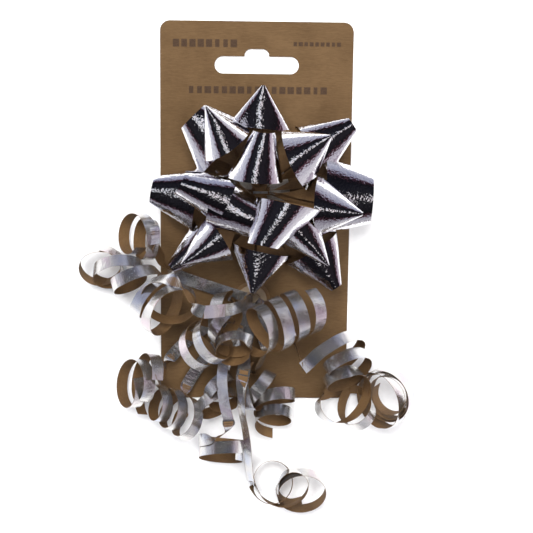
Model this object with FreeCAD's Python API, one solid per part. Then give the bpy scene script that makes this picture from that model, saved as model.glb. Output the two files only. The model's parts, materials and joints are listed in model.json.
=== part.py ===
"""Ready-made gift bow and curled ribbon spray on a hang card.

Frame: the card lies on its back on z = 0, +Y runs up the card to its hang slot, +Z out of
the printed side. The origin is the centre of the card's back. Sizes are in millimetres.
"""
import math
import os

import FreeCAD
import Part
from FreeCAD import Vector

# Hang card: 3 x 6 inch kraft board with a rounded hang slot that has a raised middle
CARD_WIDTH = 76.2
CARD_HEIGHT = 152.4
CARD_THICKNESS = 0.5
CARD_CORNER = 3.9
SLOT_LENGTH = 33.3
SLOT_HEIGHT = 6.7
SLOT_FROM_TOP = 13.6
SLOT_PEAK_WIDTH = 9.7
SLOT_PEAK_RISE = 2.9

# Peel-off base of the bow, in a stack on the card
BOW_X = 1.7
BOW_Y = 10.0
LINER_THICKNESS = 0.1
LINER_MARGIN = 1.5
BOW_PAD_RADIUS = 9.0
PAD_THICKNESS = 0.8
DISC_RADIUS = 12.0
DISC_THICKNESS = 0.5
HUB_RADIUS = 4.5
HUB_HEIGHT = 10.0
STAPLE_SPAN = 5.0
STAPLE_WIRE = 0.8
STAPLE_CLEARANCE = 0.05

# Bow ribbon: foil on kraft, rolled into one cone for each loop
RIBBON_WIDTH = 19.0
LOOP_WALL = 0.4
LOOP_GAP = 0.35
TIP_RADIUS = 0.8
LEG_START_WIDTH = 4.0
LEG_END_WIDTH = 2.4
LEG_THICKNESS = 0.5
LEG_GRIP = 4.0
FOOT_DEPTH = 1.0

# Curling ribbon spray
TIE_X = -1.0
TIE_Y = -35.0
TIE_RADIUS = 4.0
TIE_HEIGHT = 5.0
SPRAY_PAD_RADIUS = 6.0
LEAD_RADIUS = 1.1
HINGE_GAP = 1.6

# Cone loops, name: (heading, reach, tip height, rise, half angle, blunt end). Heading is in
# degrees from +X, reach is the tip's distance from the hub in plan, rise is the axis's angle
# above the card, and the blunt end is how far the cone's own apex lies beyond the ribbon.
MIDDLE_LOOPS = {
    "middle_loop_1": (44, 33.0, 33.0, 34, 28, 3.0),
    "middle_loop_2": (122, 36.5, 31.0, 30, 22, 0.0),
    "middle_loop_3": (173, 34.5, 32.0, 32, 23, 2.0),
    "middle_loop_4": (221, 37.5, 28.5, 26, 25, 0.0),
    "middle_loop_5": (312, 34.0, 30.0, 30, 24, 0.0),
    "middle_loop_6": (351, 37.5, 30.0, 28, 27, 0.0),
}
OUTER_LOOPS = {
    "outer_loop_1": (37, 44.0, 13.0, 6, 22, 6.0),
    "outer_loop_2": (89, 41.5, 15.0, 10, 30, 2.0),
    "outer_loop_3": (141, 39.0, 13.0, 3, 19, 12.0),
    "outer_loop_4": (179, 42.0, 13.5, 4, 20, 12.0),
    "outer_loop_5": (220, 46.0, 12.0, 3, 17, 6.0),
    "outer_loop_6": (268, 37.5, 15.0, 8, 27, 3.0),
    "outer_loop_7": (310, 47.0, 12.0, 3, 17, 6.0),
    "outer_loop_8": (357, 43.5, 13.0, 1, 20, 14.0),
}
MIDDLE_FOOT_HEIGHT = 9.0
OUTER_FOOT_HEIGHT = 4.4
# Crown loops lie over the hub, name: (tip point, heading, rise, half angle, blunt end, and
# where on the hub the foot stands)
CROWN_LOOPS = {
    "crown_loop_1": ((2.0, -6.5, 34.0), 237, 14, 17, 20.0, (1.6, -2.3)),
    "crown_loop_2": ((0.5, 34.0, 34.0), 93, 16, 17, 13.0, (0.0, 2.4)),
    "crown_loop_3": ((-3.0, 2.5, 27.5), 327, 6, 5, 100.0, (-1.8, -2.3)),
}

# Free strands. Each curl is a fat tube of its outer radius along the line that it winds
# round. A lead is the flat stretch that comes from the tie.
# name: (curl radius, lead points, curl axis points)
FIXED_STRANDS = {
    "near_left_strand": (8.0, [(-3.2, -37, 6), (-11, -40.5, 17), (-17, -46, 23)],
                         [(-17, -46, 23), (-28, -57, 15)]),
    "front_right_strand": (8.5, [(0, -36.5, 6), (-3, -40, 14), (-3, -45, 25)],
                           [(-3, -45, 25), (9, -43, 20.5), (24, -38, 14)]),
    "knot_curl": (6.0, [(-3.5, -33.5, 5.9), (-7.5, -33, 9), (-11, -35, 11)],
                  [(-11, -35, 11), (-20, -33, 11)]),
    "centre_strand": (8.5, [(1.4, -37.6, 2.7), (3.5, -47, 2.7), (6, -55, 6), (8, -60, 11)],
                      [(8, -60, 11), (7.5, -86, 9.5)]),
    "inner_strand": (7.5, [(-0.8, -38.6, 2.7), (-6.5, -51, 2.7), (-13.5, -60, 4), (-16, -67, 9)],
                     [(-16, -67, 9), (-15.5, -81, 9)]),
    "bottom_strand": (8.5, [(-2.6, -38, 5.2), (-7, -51, 7.5), (-8, -61, 14.5), (-10, -74, 19.2),
                            (-12, -83, 16), (-13.5, -88, 10)],
                      [(-13.5, -88, 10), (-14, -103, 10)]),
    "low_left_strand": (7.5, [(-2.9, -38.2, 2.7), (-16, -53.5, 2.2), (-27, -69, 2.2), (-26.5, -80, 3.5),
                              (-28.5, -86.5, 9)],
                        [(-28.5, -86.5, 9), (-43.5, -85, 9)]),
}
# Strands that swing up on their leads, name: (static lead points, which end at the hinge,
# free lead points from the hinge, curl radius, curl axis points)
HINGED_STRANDS = {
    "upper_left_strand": ([(-4.6, -34, 2.7), (-20, -29, 2.2), (-34, -24, 2.2), (-39, -15, 8),
                           (-39, -9.8, 19.6)],
                          [(-39, -9.8, 19.6), (-43, -8.5, 17), (-46, -7.5, 12)],
                          8.5, [(-41.5, -9, 10.5), (-51, -5.5, 9.5)]),
    "left_strand": ([(-1.5, -34.2, 6.2), (-5, -34.2, 19), (-12, -34, 29), (-19.5, -33.5, 34)],
                    [(-19.5, -33.5, 34), (-25, -33.5, 32.5), (-30, -33.5, 27)],
                    10.5, [(-31.5, -33.5, 33), (-31.5, -33.5, 19.5)]),
    "lower_left_strand": ([(-4.6, -36.2, 2.7), (-21, -46, 2.2), (-34, -58, 3), (-37, -63, 10),
                           (-38.2, -63.9, 19.6)],
                          [(-38.2, -63.9, 19.6), (-43, -65.5, 17), (-46, -66.5, 11)],
                          9.0, [(-40, -64.5, 9.8), (-55.5, -70, 9.6)]),
    "right_strand": ([(2.6, -35.5, 2.7), (13.5, -45, 2.7), (18, -55, 11), (19, -58, 22.4)],
                     [(19, -58, 22.4), (24, -57.2, 20), (28, -56.6, 13)],
                     10.0, [(20.5, -58, 11.5), (37, -55, 11.5)]),
    "pigtail_strand": ([(0.3, -38.2, 5.2), (-2.8, -48, 9), (-4.2, -56, 14), (-4, -59, 20.8)],
                       [(-4, -59, 20.8), (-6, -72, 20.3), (-2.8, -88, 13), (-2, -100, 5),
                        (5, -109, 3.6)],
                       0, []),
}
LEFT_HELIX_RADIUS = 8.5
LEFT_HELIX = [(-31, -37, 10), (-46, -31, 10), (-62, -21.5, 9.5)]
LEFT_LINK = [(-31.5, -33.5, 21), (-32.5, -35, 14)]
RIGHT_LOW_COIL = (35.0, -78.0, 10.0, 7.0)
RIGHT_END_COIL = (55.5, -70.5, 11.0, 12.0)
RIGHT_FIRST_LINK = [(34, -56, 10), (42, -64, 9), (38, -72, 5)]
RIGHT_LAST_LINK = [(38, -80, 4), (46, -77, 5), (52, -72, 7)]
PIGTAIL_COILS = [(9.7, -110.5, 8.7), (20.2, -114.4, 10.6)]
PIGTAIL_COIL_HEIGHT = 6.0
COIL_FLOOR = 0.8


def flat_disc(x, y, bottom, radius, height):
    return Part.makeCylinder(radius, height, Vector(x, y, bottom))


def rounded_plate(width, height, corner, thickness):
    """A plate centred on the origin, from z = 0 up, with round corners."""
    plate = Part.makeBox(width, height, thickness, Vector(-width / 2, -height / 2, 0))
    upright = [e for e in plate.Edges if abs(e.Vertexes[0].Z - e.Vertexes[-1].Z) > thickness / 2]
    return plate.makeFillet(corner, upright)


def hang_slot(thickness):
    """The long slot with round ends and the raised middle that centres it on a peg."""
    top = CARD_HEIGHT / 2 - SLOT_FROM_TOP
    end_radius = SLOT_HEIGHT / 2
    half = SLOT_LENGTH / 2 - end_radius
    middle = top - end_radius
    tool = Part.makeBox(2 * half, SLOT_HEIGHT, thickness, Vector(-half, top - SLOT_HEIGHT, 0))
    for side in (-half, half):
        tool = tool.fuse(Part.makeCylinder(end_radius, thickness, Vector(side, middle, 0)))
    peak = SLOT_PEAK_RISE + end_radius
    raised = Part.makeBox(SLOT_PEAK_WIDTH, peak, thickness,
                          Vector(-SLOT_PEAK_WIDTH / 2, middle, 0))
    corners = [e for e in raised.Edges
               if abs(e.Vertexes[0].Z - e.Vertexes[-1].Z) > thickness / 2
               and e.Vertexes[0].Y > top]
    raised = raised.makeFillet(SLOT_PEAK_RISE * 0.9, corners)
    return tool.fuse(raised).removeSplitter()


def hang_card():
    card = rounded_plate(CARD_WIDTH, CARD_HEIGHT, CARD_CORNER, CARD_THICKNESS)
    return card.cut(hang_slot(CARD_THICKNESS))


def staple(bottom, top, spread):
    """A staple with its crown on the hub and its prongs down to the underside of the disc."""
    wire = STAPLE_WIRE + 2 * spread
    half = STAPLE_SPAN / 2
    crown = Part.makeBox(2 * half + wire, wire, STAPLE_WIRE,
                         Vector(BOW_X - half - wire / 2, BOW_Y - wire / 2, top))
    for side in (-half, half):
        prong = Part.makeBox(wire, wire, top - bottom,
                             Vector(BOW_X + side - wire / 2, BOW_Y - wire / 2, bottom))
        crown = crown.fuse(prong)
    return crown.removeSplitter()


def cone_frame(tip, heading, rise):
    """The tip, the axis from the tip towards the mouth, and the directions across it."""
    turn = math.radians(heading)
    tilt = math.radians(rise)
    inward = Vector(-math.cos(turn) * math.cos(tilt), -math.sin(turn) * math.cos(tilt),
                    -math.sin(tilt))
    across = Vector(-math.sin(turn), math.cos(turn), 0)
    upward = across.cross(inward)
    if upward.z < 0:
        upward = upward * -1
    return tip, inward, across, upward


def cone_body(frame, half_angle, blunt, grow):
    """The solid cone inside one loop, grown outwards by grow."""
    tip, inward, _, _ = frame
    sine = math.sin(math.radians(half_angle))
    cosine = math.cos(math.radians(half_angle))
    near = max(blunt * sine, TIP_RADIUS) + grow / cosine
    far = (blunt + RIBBON_WIDTH) * sine + grow / cosine
    length = RIBBON_WIDTH * cosine + max(grow, 0) * 2
    return Part.makeCone(near, far, length, tip - inward * max(grow, 0), inward)


def across_rectangle(centre, run, side, width, thickness):
    """A closed rectangle across a run, with its width along side."""
    normal = run.cross(side).normalize()
    side = normal.cross(run).normalize()
    half = side * (width / 2)
    rise = normal * (thickness / 2)
    corners = [centre - half - rise, centre + half - rise, centre + half + rise,
               centre - half + rise]
    return Part.makePolygon(corners + corners[:1])


def leg(frame, half_angle, blunt, foot, grow):
    """The gathered ribbon from the back of a loop's mouth to its foot in the hub."""
    tip, inward, across, upward = frame
    sine = math.sin(math.radians(half_angle))
    cosine = math.cos(math.radians(half_angle))
    radius = max((blunt + RIBBON_WIDTH - LEG_GRIP) * sine, TIP_RADIUS) - LOOP_WALL / 2
    start = tip + inward * ((RIBBON_WIDTH - LEG_GRIP) * cosine) - upward * radius
    run = foot - start
    wires = [across_rectangle(start, run, across, LEG_START_WIDTH + grow, LEG_THICKNESS + grow),
             across_rectangle(foot, run, across, LEG_END_WIDTH + grow, LEG_THICKNESS + grow)]
    return Part.makeLoft(wires, True, True)


def loop_specs(disc_top):
    """Every loop as name: (cone frame, half angle, blunt end, foot), upper loops first."""
    specs = {}
    hub_top = disc_top + HUB_HEIGHT
    for name, (point, heading, rise, half_angle, blunt, aside) in CROWN_LOOPS.items():
        frame = cone_frame(Vector(*point), heading, rise)
        foot = Vector(BOW_X + aside[0], BOW_Y + aside[1], hub_top - FOOT_DEPTH)
        specs[name] = (frame, half_angle, blunt, foot)
    for tier, foot_height in ((MIDDLE_LOOPS, MIDDLE_FOOT_HEIGHT),
                              (OUTER_LOOPS, OUTER_FOOT_HEIGHT)):
        for name, (heading, reach, height, rise, half_angle, blunt) in tier.items():
            turn = math.radians(heading)
            outward = Vector(math.cos(turn), math.sin(turn), 0)
            tip = Vector(BOW_X, BOW_Y, height) + outward * reach
            foot = Vector(BOW_X, BOW_Y, foot_height) + outward * (HUB_RADIUS - FOOT_DEPTH)
            specs[name] = (cone_frame(tip, heading, rise), half_angle, blunt, foot)
    return specs


def bow_loops(disc_top, hub):
    """One shell for each loop. A lower loop gives way to the loops that lie over it."""
    loops = {}
    envelopes = []
    for name, (frame, half_angle, blunt, foot) in loop_specs(disc_top).items():
        shell = cone_body(frame, half_angle, blunt, 0).cut(
            cone_body(frame, half_angle, blunt, -LOOP_WALL))
        loop = shell.fuse(leg(frame, half_angle, blunt, foot, 0)).cut(hub)
        for envelope in envelopes:
            if envelope.BoundBox.intersect(loop.BoundBox):
                loop = loop.cut(envelope)
        loops[name] = max(loop.Solids, key=lambda solid: solid.Volume)
        envelopes.append(cone_body(frame, half_angle, blunt, LOOP_GAP))
        envelopes.append(leg(frame, half_angle, blunt, foot, 2 * LOOP_GAP))
    return loops


def rounded_route(points):
    """Straight runs joined by tangent arcs, and the radius of each arc."""
    points = [Vector(*p) for p in points]
    edges = []
    radii = []
    start = points[0]
    for before, corner, after in zip(points, points[1:], points[2:]):
        entry = (before - corner).normalize()
        leave = (after - corner).normalize()
        half_turn = (math.pi - entry.getAngle(leave)) / 2
        setback = 0.45 * min(before.distanceToPoint(corner), after.distanceToPoint(corner))
        radius = setback / math.tan(half_turn)
        centre = corner + (entry + leave).normalize() * (radius / math.cos(half_turn))
        middle = centre + (corner - centre).normalize() * radius
        first = corner + entry * setback
        last = corner + leave * setback
        edges.append(Part.LineSegment(start, first).toShape())
        edges.append(Part.Arc(first, middle, last).toShape())
        radii.append(radius)
        start = last
    edges.append(Part.LineSegment(start, points[-1]).toShape())
    return Part.Wire(edges), radii


def tube(name, points, radius):
    """A round tube along a rounded route. It prints its arcs and checks its volume."""
    route, radii = rounded_route(points)
    along = (Vector(*points[1]) - Vector(*points[0])).normalize()
    section = Part.Face(Part.Wire(Part.makeCircle(radius, Vector(*points[0]), along)))
    solid = route.makePipe(section)
    share = solid.Volume / (section.Area * route.Length)
    print(name, "arc radii", [round(r, 1) for r in radii], "volume share", round(share, 3))
    return solid


def strand(name, radius, lead, curl):
    """A lead and its fat curl tube as one solid."""
    whole = tube(name + " curl", curl, radius).fuse(tube(name + " lead", lead, LEAD_RADIUS))
    return whole.removeSplitter()


def trimmed(points, at_start, at_end):
    """The route with HINGE_GAP taken off the ends that meet at a hinge."""
    points = [Vector(*p) for p in points]
    if at_start:
        points[0] += (points[1] - points[0]).normalize() * HINGE_GAP
    if at_end:
        points[-1] += (points[-2] - points[-1]).normalize() * HINGE_GAP
    return points


def hinged_strand(name):
    """The static lead, and the free lead fused to its curl."""
    static, free, radius, curl = HINGED_STRANDS[name]
    lead = tube(name + " lead", trimmed(static, False, True), LEAD_RADIUS)
    whole = tube(name + " free lead", trimmed(free, True, False), LEAD_RADIUS)
    if curl:
        whole = whole.fuse(tube(name + " curl", curl, radius))
    return lead, whole.removeSplitter()


def coil_disc(x, y, radius, height):
    return flat_disc(x, y, COIL_FLOOR, radius, height)


def hinged_nodes(tie):
    """Every hinged strand, with the coils and links that belong to it."""
    nodes = {}
    for name in HINGED_STRANDS:
        lead, free = hinged_strand(name)
        nodes[name.replace("strand", "lead")] = lead.cut(tie)
        nodes[name] = free
    helix = tube("left helix", LEFT_HELIX, LEFT_HELIX_RADIUS)
    helix = helix.fuse(tube("left link", LEFT_LINK, LEAD_RADIUS))
    nodes["left_strand_helix"] = helix.cut(nodes["left_strand"])
    low_coil = coil_disc(*RIGHT_LOW_COIL)
    end_coil = coil_disc(*RIGHT_END_COIL).fuse(
        tube("right last link", RIGHT_LAST_LINK, LEAD_RADIUS))
    nodes["right_strand_low_coil"] = low_coil
    nodes["right_strand_end_coil"] = end_coil.cut(low_coil)
    nodes["right_strand"] = nodes["right_strand"].fuse(
        tube("right first link", RIGHT_FIRST_LINK, LEAD_RADIUS)).cut(low_coil)
    first, second = (coil_disc(*coil, PIGTAIL_COIL_HEIGHT) for coil in PIGTAIL_COILS)
    nodes["pigtail_coils"] = first.fuse(second).removeSplitter()
    nodes["pigtail_strand"] = nodes["pigtail_strand"].cut(nodes["pigtail_coils"])
    return nodes


def build():
    nodes = {"hang_card": hang_card()}
    level = CARD_THICKNESS
    nodes["bow_release_liner"] = flat_disc(BOW_X, BOW_Y, level, BOW_PAD_RADIUS + LINER_MARGIN,
                                           LINER_THICKNESS)
    nodes["spray_release_liner"] = flat_disc(TIE_X, TIE_Y, level,
                                             SPRAY_PAD_RADIUS + LINER_MARGIN, LINER_THICKNESS)
    level += LINER_THICKNESS
    nodes["bow_adhesive_pad"] = flat_disc(BOW_X, BOW_Y, level, BOW_PAD_RADIUS, PAD_THICKNESS)
    nodes["spray_adhesive_pad"] = flat_disc(TIE_X, TIE_Y, level, SPRAY_PAD_RADIUS,
                                            PAD_THICKNESS)
    level += PAD_THICKNESS
    disc_top = level + DISC_THICKNESS
    hub_top = disc_top + HUB_HEIGHT
    clear = staple(level, hub_top, STAPLE_CLEARANCE)
    disc = flat_disc(BOW_X, BOW_Y, level, DISC_RADIUS, DISC_THICKNESS)
    hub = flat_disc(BOW_X, BOW_Y, disc_top, HUB_RADIUS, HUB_HEIGHT)
    nodes["bow_backing_disc"] = disc.cut(clear)
    nodes["bow_hub"] = hub.cut(clear)
    nodes["bow_staple"] = staple(level, hub_top, 0)
    nodes.update(bow_loops(disc_top, hub))
    tie = flat_disc(TIE_X, TIE_Y, level, TIE_RADIUS, TIE_HEIGHT)
    nodes["spray_tie"] = tie
    for name, (radius, lead, curl) in FIXED_STRANDS.items():
        nodes[name] = strand(name, radius, lead, curl).cut(tie)
    nodes.update(hinged_nodes(tie))
    return nodes


os.makedirs("parts", exist_ok=True)
for node_name, shape in build().items():
    print(node_name, shape.ShapeType, len(shape.Solids), shape.isValid(), round(shape.Volume, 1))
    shape.exportStep("parts/" + node_name + ".step")
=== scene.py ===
"""Ready-made gift bow and curled ribbon spray on a kraft hang card.

Everything is in metres, except that the routes of the curled strands are in millimetres. The
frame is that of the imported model: the card lies on its back on z = 0, +Y runs up the card
towards its hang slot and +Z points out of its printed side.
"""
import json
import logging
import math
from dataclasses import dataclass, field
from enum import Enum

import bpy
import numpy as np
from mathutils import Matrix, Vector

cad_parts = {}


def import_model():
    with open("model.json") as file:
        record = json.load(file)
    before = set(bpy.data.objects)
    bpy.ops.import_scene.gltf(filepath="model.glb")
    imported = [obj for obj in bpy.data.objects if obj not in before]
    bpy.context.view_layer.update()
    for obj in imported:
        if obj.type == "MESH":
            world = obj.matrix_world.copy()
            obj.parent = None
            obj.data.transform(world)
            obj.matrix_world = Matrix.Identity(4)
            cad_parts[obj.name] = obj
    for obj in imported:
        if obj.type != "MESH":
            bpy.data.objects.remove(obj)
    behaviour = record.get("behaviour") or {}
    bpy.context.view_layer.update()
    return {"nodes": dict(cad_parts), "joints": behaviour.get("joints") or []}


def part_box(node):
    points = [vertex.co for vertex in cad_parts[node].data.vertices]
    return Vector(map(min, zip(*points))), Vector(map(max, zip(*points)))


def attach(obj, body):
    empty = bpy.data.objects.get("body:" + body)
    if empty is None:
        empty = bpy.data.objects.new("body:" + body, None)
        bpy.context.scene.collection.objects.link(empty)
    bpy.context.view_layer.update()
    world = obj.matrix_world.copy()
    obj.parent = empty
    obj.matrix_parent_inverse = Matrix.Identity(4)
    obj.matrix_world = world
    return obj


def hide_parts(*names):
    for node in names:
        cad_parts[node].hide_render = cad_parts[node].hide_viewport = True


Point = tuple[float, float, float]
LOG = logging.getLogger("gift_bow")
MM = 0.001
UP = Vector((0.0, 0.0, 1.0))


class Side(Enum):
    """The two faces of a ribbon, as material slots of its mesh."""

    FOIL = 0
    KRAFT = 1


class HingeEnd(Enum):
    """Which end of a strand's piece lies on a hinge."""

    NEITHER = "neither"
    START = "start"
    END = "end"


def linear(colour: str) -> tuple[float, float, float, float]:
    """Turns an sRGB hex colour into linear light.

    Args:
        colour: The colour as "#rrggbb".

    Returns:
        Red, green, blue and alpha.
    """
    channels = [int(colour[i:i + 2], 16) / 255 for i in (1, 3, 5)]
    straight = [c / 12.92 if c <= 0.04045 else ((c + 0.055) / 1.055) ** 2.4 for c in channels]
    return (*straight, 1.0)


def add_node(tree: bpy.types.NodeTree, kind: str, settings: dict | None = None,
             values: dict | None = None, links: dict | None = None,
             ramp: list | None = None) -> bpy.types.Node:
    """Adds one node with its settings and links.

    Args:
        tree: The node tree that gets the node.
        kind: The node's type name.
        settings: The node's own properties.
        values: What its unlinked inputs hold, by name or number.
        links: The output socket that each linked input takes, by name or number.
        ramp: Stops of a colour ramp as (place, hex colour).

    Returns:
        The new node.
    """
    node = tree.nodes.new(kind)
    for name, value in (settings or {}).items():
        setattr(node, name, value)
    for key, value in (values or {}).items():
        node.inputs[key].default_value = value
    for key, socket in (links or {}).items():
        tree.links.new(socket, node.inputs[key])
    if ramp:
        stops = node.color_ramp.elements
        while len(stops) < len(ramp):
            stops.new(1.0)
        for stop, (place, colour) in zip(stops, ramp):
            stop.position = place
            stop.color = linear(colour)
    return node


@dataclass(frozen=True)
class Finish:
    """One surface finish. Its subclasses add the pattern that the real material shows."""

    name: str
    colour: str
    roughness: float
    metallic: float = 0.0

    def material(self) -> bpy.types.Material:
        """Builds the material, or returns it if it has been built."""
        made = bpy.data.materials.get(self.name)
        if made:
            return made
        made = bpy.data.materials.new(self.name)
        made.use_nodes = True
        tree = made.node_tree
        tree.nodes.clear()
        shader = add_node(tree, "ShaderNodeBsdfPrincipled", values={
            "Base Color": linear(self.colour), "Roughness": self.roughness,
            "Metallic": self.metallic})
        add_node(tree, "ShaderNodeOutputMaterial", links={"Surface": shader.outputs[0]})
        self.dress(tree, shader)
        return made

    def dress(self, tree: bpy.types.NodeTree, shader: bpy.types.Node) -> None:
        """Adds this finish's own pattern. A plain finish has none."""

    def places(self, tree: bpy.types.NodeTree, scale: Point) -> bpy.types.NodeSocket:
        """Object coordinates turned to pattern units.

        Args:
            tree: The material's tree.
            scale: Pattern units per metre along each axis.

        Returns:
            The socket that patterns read.
        """
        where = add_node(tree, "ShaderNodeTexCoord")
        return add_node(tree, "ShaderNodeMapping", values={"Scale": scale},
                        links={"Vector": where.outputs["Object"]}).outputs[0]


@dataclass(frozen=True)
class MirrorFoil(Finish):
    """Vacuum-metallised polyester film, calendered with a fine pebble. It mirrors the room
    sharply, and the pebble breaks the edge of each reflection into bright specks."""

    pebble_size: float = 0.95 * MM
    pebble_depth: float = 0.11 * MM
    dent_size: float = 7.0 * MM
    dent_depth: float = 0.10 * MM

    def dress(self, tree: bpy.types.NodeTree, shader: bpy.types.Node) -> None:
        """Adds the pebble and the shallow dents of handling."""
        pebble = add_node(tree, "ShaderNodeTexNoise", values={
            "Scale": 1.0, "Detail": 1.6, "Roughness": 0.5},
            links={"Vector": self.places(tree, (1 / self.pebble_size,) * 3)})
        dents = add_node(tree, "ShaderNodeTexNoise", values={"Scale": 1.0, "Detail": 1.0},
                         links={"Vector": self.places(tree, (1 / self.dent_size,) * 3)})
        broad = add_node(tree, "ShaderNodeBump", values={
            "Strength": 1.0, "Distance": self.dent_depth}, links={"Height": dents.outputs[0]})
        fine = add_node(tree, "ShaderNodeBump", values={
            "Strength": 1.0, "Distance": self.pebble_depth},
            links={"Height": pebble.outputs[0], "Normal": broad.outputs[0]})
        tree.links.new(fine.outputs[0], shader.inputs["Normal"])


@dataclass(frozen=True)
class CurledFoil(Finish):
    """Metallised curling ribbon, drawn over a blade. The blade stretches the film unevenly, so
    it is a bright silver with fine crazing, and crumpled across in patches. Crumple across is
    how often crumples repeat across the ribbon, as a share of how often they do along it."""

    craze_size: float = 0.45 * MM
    craze_depth: float = 0.035 * MM
    crumple_size: float = 1.5 * MM
    crumple_depth: float = 0.22 * MM
    crumple_across: float = 0.35
    patch_size: float = 9.0 * MM

    def dress(self, tree: bpy.types.NodeTree, shader: bpy.types.Node) -> None:
        """Adds the crazing, the crumpled patches and the faint play of colour."""
        along = add_node(tree, "ShaderNodeUVMap", settings={"uv_map": "UVMap"})
        drawn = add_node(tree, "ShaderNodeMapping", values={
            "Scale": (1 / self.crumple_size, self.crumple_across / self.crumple_size, 1.0)},
            links={"Vector": along.outputs[0]})
        crumple = add_node(tree, "ShaderNodeTexNoise", values={"Scale": 1.0, "Detail": 1.0},
                           links={"Vector": drawn.outputs[0]})
        craze = add_node(tree, "ShaderNodeTexNoise", values={"Scale": 1.0, "Detail": 2.0},
                         links={"Vector": self.places(tree, (1 / self.craze_size,) * 3)})
        patch = add_node(tree, "ShaderNodeTexNoise", values={"Scale": 1.0, "Detail": 1.0},
                         links={"Vector": self.places(tree, (1 / self.patch_size,) * 3)})
        where = add_node(tree, "ShaderNodeValToRGB", links={"Fac": patch.outputs[0]},
                         ramp=[(0.45, "#1c1c1c"), (0.60, "#ffffff")])
        patched = add_node(tree, "ShaderNodeMath", settings={"operation": "MULTIPLY"},
                           links={0: crumple.outputs[0], 1: where.outputs[0]})
        crumpled = add_node(tree, "ShaderNodeBump", values={
            "Strength": 1.0, "Distance": self.crumple_depth}, links={"Height": patched.outputs[0]})
        crazed = add_node(tree, "ShaderNodeBump", values={
            "Strength": 1.0, "Distance": self.craze_depth},
            links={"Height": craze.outputs[0], "Normal": crumpled.outputs[0]})
        tree.links.new(crazed.outputs[0], shader.inputs["Normal"])
        colours = add_node(tree, "ShaderNodeValToRGB", links={"Fac": patch.outputs[0]}, ramp=[
            (0.34, "#c3c7d2"), (0.46, "#d3d2d1"), (0.58, "#d8d6d2"), (0.68, "#d3c9cd")])
        tree.links.new(colours.outputs[0], shader.inputs["Base Color"])


@dataclass(frozen=True)
class Kraft(Finish):
    """Unbleached kraft paper or board: a matt brown with short fibres, mottled by the pulp."""

    dark: str = "#5c452c"
    fibre_length: float = 1.6 * MM
    fibre_width: float = 0.25 * MM
    mottle_size: float = 9.0 * MM
    fibre_relief: float = 0.05 * MM

    def dress(self, tree: bpy.types.NodeTree, shader: bpy.types.Node) -> None:
        """Adds the fibres and the mottling."""
        fibre = add_node(tree, "ShaderNodeTexNoise", values={
            "Scale": 1.0, "Detail": 3.0, "Roughness": 0.6}, links={"Vector": self.places(
                tree, (1 / self.fibre_length, 1 / self.fibre_width, 1 / self.fibre_width))})
        mottle = add_node(tree, "ShaderNodeTexNoise", values={"Scale": 1.0, "Detail": 4.0},
                          links={"Vector": self.places(tree, (1 / self.mottle_size,) * 3)})
        both = add_node(tree, "ShaderNodeMath", settings={"operation": "ADD"},
                        links={0: fibre.outputs[0], 1: mottle.outputs[0]})
        halved = add_node(tree, "ShaderNodeMath", settings={"operation": "MULTIPLY"},
                          values={1: 0.5}, links={0: both.outputs[0]})
        colours = add_node(tree, "ShaderNodeValToRGB", links={"Fac": halved.outputs[0]},
                           ramp=[(0.34, self.dark), (0.62, self.colour)])
        tree.links.new(colours.outputs[0], shader.inputs["Base Color"])
        bump = add_node(tree, "ShaderNodeBump", values={
            "Strength": 0.5, "Distance": self.fibre_relief}, links={"Height": fibre.outputs[0]})
        tree.links.new(bump.outputs[0], shader.inputs["Normal"])


@dataclass(frozen=True)
class Grained(Finish):
    """A plain material with one fine grain, such as foam cells, paper release coat or ink."""

    grain_size: float = 0.5 * MM
    grain_depth: float = 0.05 * MM
    second: str = "#ffffff"

    def dress(self, tree: bpy.types.NodeTree, shader: bpy.types.Node) -> None:
        """Adds the grain to the colour and to the surface."""
        grain = add_node(tree, "ShaderNodeTexNoise", values={"Scale": 1.0, "Detail": 2.0},
                         links={"Vector": self.places(tree, (1 / self.grain_size,) * 3)})
        colours = add_node(tree, "ShaderNodeValToRGB", links={"Fac": grain.outputs[0]},
                           ramp=[(0.35, self.colour), (0.65, self.second)])
        tree.links.new(colours.outputs[0], shader.inputs["Base Color"])
        bump = add_node(tree, "ShaderNodeBump", values={
            "Strength": 0.6, "Distance": self.grain_depth}, links={"Height": grain.outputs[0]})
        tree.links.new(bump.outputs[0], shader.inputs["Normal"])


BOW_FOIL = MirrorFoil("metallised_polyester_film", "#e6e5e8", 0.05, 1.0)
CURL_FOIL = CurledFoil("metallised_curling_ribbon", "#d3d2d1", 0.27, 0.94)
RIBBON_BACK = Kraft("kraft_ribbon_backing", "#71573a", 0.75, dark="#503b26")
CARD_BOARD = Kraft("kraft_board", "#654f36", 0.85, dark="#54402a", fibre_length=2.2 * MM,
                   fibre_width=0.35 * MM, mottle_size=12 * MM)
RELEASE_LINER = Grained("siliconised_brown_glassine", "#62492f", 0.35, second="#6b5237")
ADHESIVE_FOAM = Grained("adhesive_polyethylene_foam", "#8b7a66", 0.8, second="#95846f",
                        grain_size=0.35 * MM)
DISC_BOARD = Grained("grey_chipboard", "#8c8781", 0.9, second="#a39d95", grain_size=0.6 * MM)
STAPLE_STEEL = Grained("galvanised_staple_wire", "#a9abad", 0.3, 1.0, second="#c4c6c8",
                       grain_size=0.2 * MM, grain_depth=0.01 * MM)
PRINT_INK = Grained("offset_ink_on_kraft", "#3a2c22", 0.7, second="#493829",
                    grain_size=0.3 * MM, grain_depth=0.01 * MM)
STUDIO_PAPER = Grained("studio_paper", "#f6f6f6", 0.9, second="#fafafa", grain_size=2 * MM)


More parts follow.
